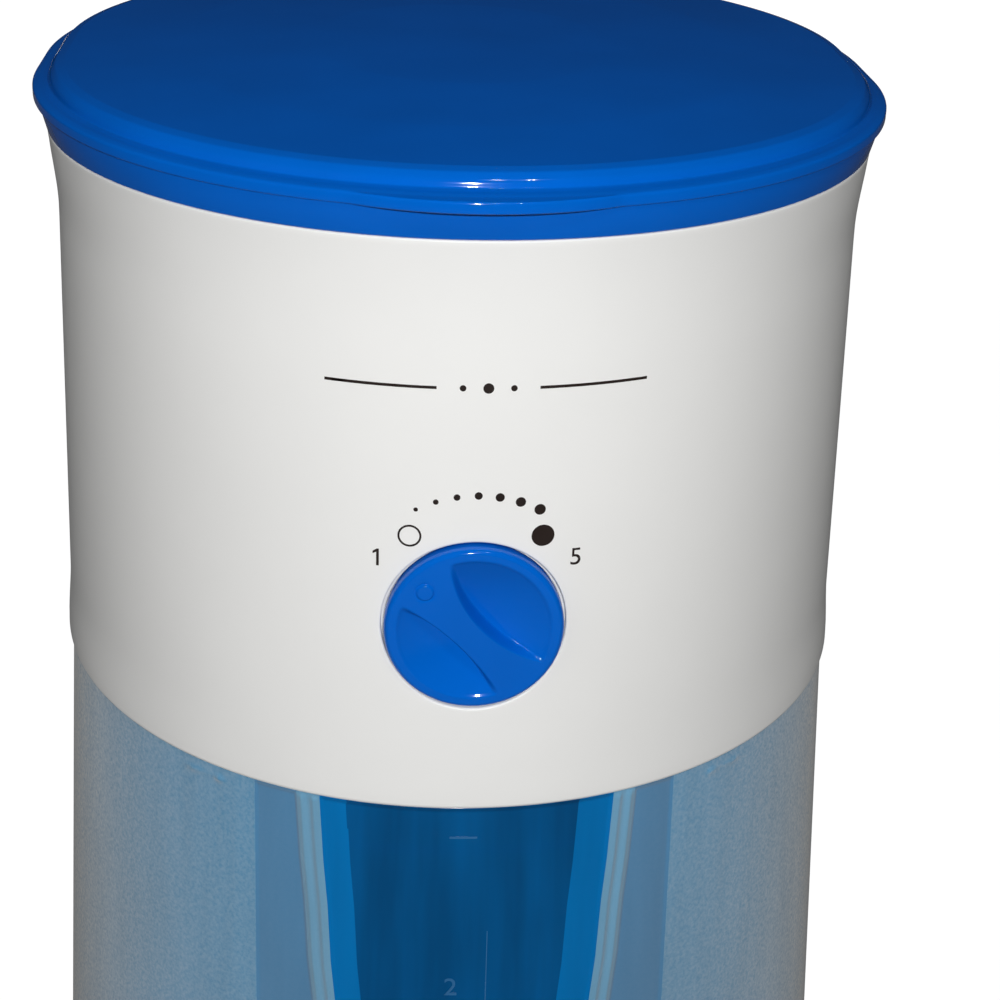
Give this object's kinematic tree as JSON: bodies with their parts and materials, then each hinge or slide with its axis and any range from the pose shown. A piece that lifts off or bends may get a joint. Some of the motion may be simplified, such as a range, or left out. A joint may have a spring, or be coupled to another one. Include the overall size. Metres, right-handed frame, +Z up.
{
  "type": "iced tea maker",
  "caption": "Countertop iced tea maker: hinged-lid brew housing with a water tank, tea basket and strength dial over a slide-out frosted pitcher on a base with a rear tower.",
  "frame": {"origin": "on the surface it stands on, at the centre of the footprint", "axes": "+Z up; the dial, the pitcher's window and the button face -Y; +X to the right seen from the front"},
  "size_m": [0.1976, 0.2142, 0.2844],
  "materials": {
    "white_shell": "semi-gloss moulded",
    "blue_plastic": "gloss moulded",
    "tank_plastic": "satin moulded",
    "basket_plastic": "satin moulded",
    "pitcher_plastic": "blue-tinted, frosted outside, with a polished front window",
    "steel": "bright",
    "cast_aluminium": "as cast",
    "silicone": "matt",
    "foot_rubber": "matt",
    "dark_plastic": "matt moulded",
    "lens": "polished"
  },
  "bodies": {
    "chassis": {"upper_housing": "white_shell", "collar_ring": "blue_plastic", "hinge_pin": "steel", "water_tank": "tank_plastic", "tank_screen": "tank_plastic", "riser_tube": "tank_plastic", "brew_basket": "basket_plastic", "tea_screen": "steel", "basket_valve_seat": "silicone", "shaft_seal": "silicone", "detent_spring": "steel", "tower_shell": "blue_plastic", "rear_cover": "blue_plastic", "tower_screws": "steel", "heater_block": "cast_aluminium", "heater_bracket": "steel", "thermostat": "steel", "thermal_fuse": "tank_plastic", "feed_hose": "silicone", "check_valve": "tank_plastic", "inlet_hose": "silicone", "outlet_hose": "silicone", "base_shell": "white_shell", "base_cover": "dark_plastic", "base_screws": "steel", "rubber_feet": "foot_rubber", "cord_gland": "dark_plastic", "switch_body": "dark_plastic", "switch_bracket": "dark_plastic", "indicator_lens": "lens", "terminal_block": "dark_plastic", "button_spring": "steel"},
    "lid": {"lid": "blue_plastic"},
    "strength_dial": {"strength_knob": "blue_plastic", "knob_shaft": "tank_plastic", "flow_shutter": "tank_plastic"},
    "pitcher": {"pitcher": "pitcher_plastic", "pitcher_lid": "blue_plastic", "pitcher_handle": "blue_plastic"},
    "power_button": {"power_button": "blue_plastic"},
    "shower_arm": {"shower_arm": "tank_plastic"}
  },
  "joints": [
    {"name": "lid_hinge", "type": "hinge", "parent": "chassis", "child": "lid", "pos_m": [0, 0.101, 0.2758], "axis": [-1, 0, 0], "range_deg": [0, 100]},
    {"name": "dial_turn", "type": "hinge", "parent": "chassis", "child": "strength_dial", "pos_m": [0, -0.1, 0.1932], "axis": [0, 1, 0], "range_deg": [0, 110]},
    {"name": "pitcher_slide", "type": "slide", "parent": "chassis", "child": "pitcher", "axis": [0, -1, 0], "range_m": [0, 0.2]},
    {"name": "arm_swing", "type": "hinge", "parent": "chassis", "child": "shower_arm", "pos_m": [0.04, 0.055, 0.262], "axis": [0, 0, -1], "range_deg": [0, 40]},
    {"name": "button_push", "type": "slide", "parent": "chassis", "child": "power_button", "axis": [0, 1, 0], "range_m": [0, 0.002], "stiffness_N_per_m": 300, "springref_m": -0.002, "deforming": ["button_spring"]}
  ]
}
